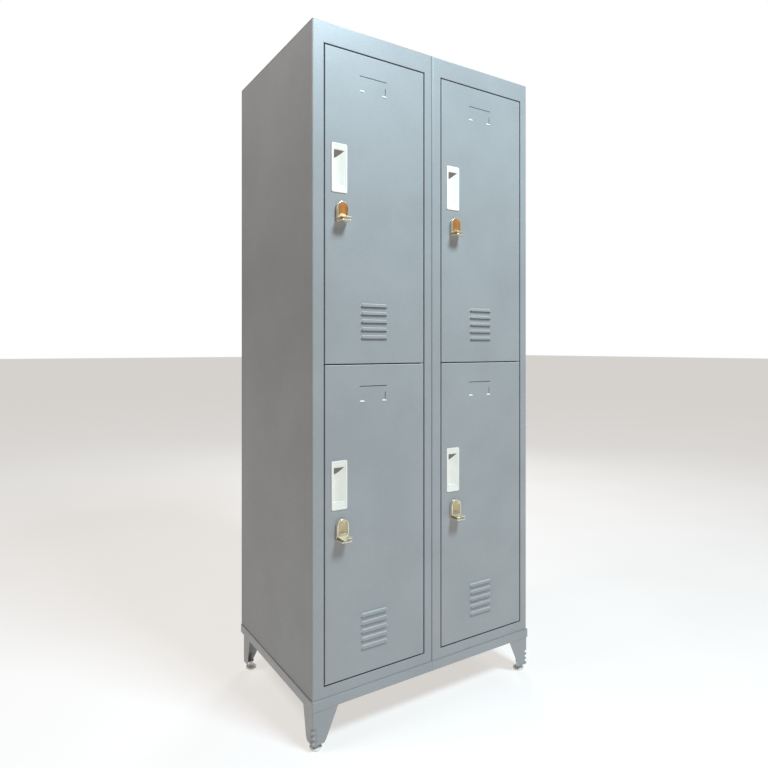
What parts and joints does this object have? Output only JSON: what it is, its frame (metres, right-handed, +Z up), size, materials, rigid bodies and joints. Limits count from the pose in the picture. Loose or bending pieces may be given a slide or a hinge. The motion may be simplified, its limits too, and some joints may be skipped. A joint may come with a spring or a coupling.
{
  "type": "locker cabinet",
  "caption": "Free-standing steel locker cabinet with flush doors in columns and tiers, padlock hasps, louvres and a base on levelling legs.",
  "frame": {"origin": "on the floor, in the middle of the plan box of body and hasps", "axes": "+Z up, +X to the right of someone facing the doors, front facing -Y"},
  "size_m": [0.766, 0.532, 1.85],
  "materials": {
    "painted_front": "blue-grey hammered powder coat, satin",
    "painted_panel": "blue-grey fine-textured powder coat, satin",
    "zinc_steel": "bright zinc plate",
    "chrome_hasp": "polished chrome plate on die-cast zinc",
    "white_pull": "moulded white plastic",
    "glide_nylon": "moulded cream nylon"
  },
  "bodies": {
    "cabinet": {"left_side_panel": "painted_panel", "right_side_panel": "painted_panel", "back_panel": "painted_panel", "top_panel": "painted_panel", "center_partition": "painted_panel", "left_front_frame": "painted_front", "left_tier_shelf": "painted_panel", "left_floor_shelf": "painted_panel", "upper_left_coat_rod": "zinc_steel", "lower_left_coat_rod": "zinc_steel", "left_pivot_bracket": "zinc_steel", "left_top_hinge_pin": "zinc_steel", "left_middle_hinge_pin": "zinc_steel", "left_bottom_hinge_pin": "zinc_steel", "left_front_base_rail": "painted_front", "left_side_base_rail": "painted_front", "right_front_frame": "painted_front", "right_tier_shelf": "painted_panel", "right_floor_shelf": "painted_panel", "upper_right_coat_rod": "zinc_steel", "lower_right_coat_rod": "zinc_steel", "right_pivot_bracket": "zinc_steel", "right_top_hinge_pin": "zinc_steel", "right_middle_hinge_pin": "zinc_steel", "right_bottom_hinge_pin": "zinc_steel", "right_front_base_rail": "painted_front", "right_side_base_rail": "painted_front", "rear_base_rail": "painted_front", "front_left_leg": "painted_front", "front_right_leg": "painted_front", "rear_left_leg": "painted_front", "rear_right_leg": "painted_front"},
    "upper_left_door": {"upper_left_door_panel": "painted_front", "upper_left_door_stiffener": "painted_front", "upper_left_pull_handle": "white_pull", "upper_left_hasp_base": "chrome_hasp"},
    "upper_left_hasp": {"upper_left_hasp_knob": "chrome_hasp", "upper_left_lock_cam": "zinc_steel"},
    "upper_right_door": {"upper_right_door_panel": "painted_front", "upper_right_door_stiffener": "painted_front", "upper_right_pull_handle": "white_pull", "upper_right_hasp_base": "chrome_hasp"},
    "upper_right_hasp": {"upper_right_hasp_knob": "chrome_hasp", "upper_right_lock_cam": "zinc_steel"},
    "lower_left_door": {"lower_left_door_panel": "painted_front", "lower_left_door_stiffener": "painted_front", "lower_left_pull_handle": "white_pull", "lower_left_hasp_base": "chrome_hasp"},
    "lower_left_hasp": {"lower_left_hasp_knob": "chrome_hasp", "lower_left_lock_cam": "zinc_steel"},
    "lower_right_door": {"lower_right_door_panel": "painted_front", "lower_right_door_stiffener": "painted_front", "lower_right_pull_handle": "white_pull", "lower_right_hasp_base": "chrome_hasp"},
    "lower_right_hasp": {"lower_right_hasp_knob": "chrome_hasp", "lower_right_lock_cam": "zinc_steel"},
    "front_left_glide": {"front_left_glide": "glide_nylon"},
    "front_right_glide": {"front_right_glide": "glide_nylon"},
    "rear_left_glide": {"rear_left_glide": "glide_nylon"},
    "rear_right_glide": {"rear_right_glide": "glide_nylon"}
  },
  "joints": [
    {"name": "upper_left_door_hinge", "type": "hinge", "parent": "cabinet", "child": "upper_left_door", "pos_m": [-0.03425, -0.229, 1.38575], "axis": [0, 0, 1], "range_deg": [0, 110]},
    {"name": "upper_left_hasp_turn", "type": "hinge", "parent": "upper_left_door", "child": "upper_left_hasp", "pos_m": [-0.297, -0.234, 1.3775], "axis": [0, -1, 0], "range_deg": [0, 90]},
    {"name": "upper_right_door_hinge", "type": "hinge", "parent": "cabinet", "child": "upper_right_door", "pos_m": [0.346, -0.229, 1.38575], "axis": [0, 0, 1], "range_deg": [0, 110]},
    {"name": "upper_right_hasp_turn", "type": "hinge", "parent": "upper_right_door", "child": "upper_right_hasp", "pos_m": [0.08325, -0.234, 1.3775], "axis": [0, -1, 0], "range_deg": [0, 90]},
    {"name": "lower_left_door_hinge", "type": "hinge", "parent": "cabinet", "child": "lower_left_door", "pos_m": [-0.03425, -0.229, 0.56825], "axis": [0, 0, 1], "range_deg": [0, 110]},
    {"name": "lower_left_hasp_turn", "type": "hinge", "parent": "lower_left_door", "child": "lower_left_hasp", "pos_m": [-0.297, -0.234, 0.56], "axis": [0, -1, 0], "range_deg": [0, 90]},
    {"name": "lower_right_door_hinge", "type": "hinge", "parent": "cabinet", "child": "lower_right_door", "pos_m": [0.346, -0.229, 0.56825], "axis": [0, 0, 1], "range_deg": [0, 110]},
    {"name": "lower_right_hasp_turn", "type": "hinge", "parent": "lower_right_door", "child": "lower_right_hasp", "pos_m": [0.08325, -0.234, 0.56], "axis": [0, -1, 0], "range_deg": [0, 90]},
    {"name": "front_left_glide_screw", "type": "slide", "parent": "cabinet", "child": "front_left_glide", "axis": [0, 0, 1], "range_m": [-0.015, 0]},
    {"name": "front_right_glide_screw", "type": "slide", "parent": "cabinet", "child": "front_right_glide", "axis": [0, 0, 1], "range_m": [-0.015, 0]},
    {"name": "rear_left_glide_screw", "type": "slide", "parent": "cabinet", "child": "rear_left_glide", "axis": [0, 0, 1], "range_m": [-0.015, 0]},
    {"name": "rear_right_glide_screw", "type": "slide", "parent": "cabinet", "child": "rear_right_glide", "axis": [0, 0, 1], "range_m": [-0.015, 0]}
  ]
}
